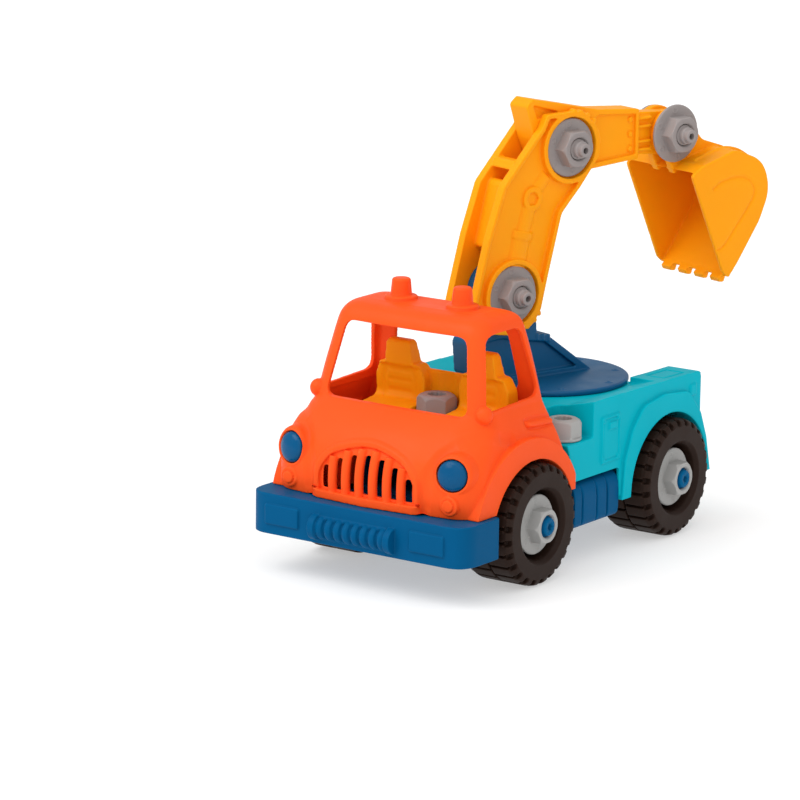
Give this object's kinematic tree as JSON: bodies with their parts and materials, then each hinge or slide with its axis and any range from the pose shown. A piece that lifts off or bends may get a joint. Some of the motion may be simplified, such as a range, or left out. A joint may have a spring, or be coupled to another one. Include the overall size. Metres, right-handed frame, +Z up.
{
  "type": "toy excavator truck",
  "caption": "Take-apart toy truck with an open cab, a slewing turntable and a jointed digger arm with a bucket, held together by large plastic screws and nuts.",
  "frame": {"origin": "bottom centre of the bounding box at rest, on the ground", "axes": "+X towards the front bumper, +Y to the truck's left, +Z up"},
  "size_m": [0.4182, 0.199, 0.3173],
  "materials": {
    "orange_body": "moulded, low sheen",
    "blue_chassis": "moulded, fine grain",
    "cyan_bed": "moulded, low sheen",
    "yellow_arm": "moulded, low sheen",
    "yellow_seats": "moulded, low sheen",
    "black_wheel": "moulded, low sheen, dark brown-black",
    "blue_lens": "smooth domed",
    "grey_fastener": "moulded, warm grey",
    "pale_fastener": "moulded, light grey"
  },
  "bodies": {
    "truck": {"chassis": "blue_chassis", "cab": "orange_body", "seats": "yellow_seats", "bed": "cyan_bed", "headlight_left": "blue_lens", "headlight_right": "blue_lens", "bed_screw_left": "pale_fastener", "bed_screw_right": "pale_fastener", "seat_screw": "grey_fastener", "front_axle": "blue_chassis", "rear_axle": "blue_chassis", "hub_nut_front_left": "pale_fastener", "hub_nut_front_right": "pale_fastener", "hub_nut_rear_left": "pale_fastener", "hub_nut_rear_right": "pale_fastener"},
    "turntable": {"turntable": "blue_chassis", "turntable_retainer": "grey_fastener", "boom_bolt": "grey_fastener", "boom_nut": "grey_fastener"},
    "boom": {"boom": "yellow_arm", "elbow_bolt": "grey_fastener", "elbow_nut": "grey_fastener"},
    "stick": {"stick": "yellow_arm", "bucket_bolt": "grey_fastener", "bucket_nut": "grey_fastener"},
    "bucket": {"bucket": "yellow_arm"},
    "wheel_front_left": {"wheel_front_left": "black_wheel"},
    "wheel_front_right": {"wheel_front_right": "black_wheel"},
    "wheel_rear_left": {"wheel_rear_left": "black_wheel"},
    "wheel_rear_right": {"wheel_rear_right": "black_wheel"}
  },
  "joints": [
    {"name": "turntable_slew", "type": "hinge", "parent": "truck", "child": "turntable", "pos_m": [-0.02288, 0, 0.113], "axis": [0, 0, 1], "range_deg": [-118, 152]},
    {"name": "boom_pivot", "type": "hinge", "parent": "turntable", "child": "boom", "pos_m": [0.01672, -0.01136, 0.1788], "axis": [-0.2756, -0.9613, 0], "range_deg": [-45, 35]},
    {"name": "stick_pivot", "type": "hinge", "parent": "boom", "child": "stick", "pos_m": [-0.03221, 0.00267, 0.2804], "axis": [0.2756, 0.9613, 0], "range_deg": [-30, 40]},
    {"name": "bucket_pivot", "type": "hinge", "parent": "stick", "child": "bucket", "pos_m": [-0.12939, 0.03054, 0.281], "axis": [0.2756, 0.9613, 0], "range_deg": [-45, 50]},
    {"name": "wheel_spin_front_left", "type": "hinge", "parent": "truck", "child": "wheel_front_left", "pos_m": [0.11392, 0.0718, 0.043], "axis": [0, 1, 0], "continuous": true},
    {"name": "wheel_spin_front_right", "type": "hinge", "parent": "truck", "child": "wheel_front_right", "pos_m": [0.11392, -0.0718, 0.043], "axis": [0, 1, 0], "continuous": true},
    {"name": "wheel_spin_rear_left", "type": "hinge", "parent": "truck", "child": "wheel_rear_left", "pos_m": [-0.06168, 0.0718, 0.043], "axis": [0, 1, 0], "continuous": true},
    {"name": "wheel_spin_rear_right", "type": "hinge", "parent": "truck", "child": "wheel_rear_right", "pos_m": [-0.06168, -0.0718, 0.043], "axis": [0, 1, 0], "continuous": true}
  ]
}
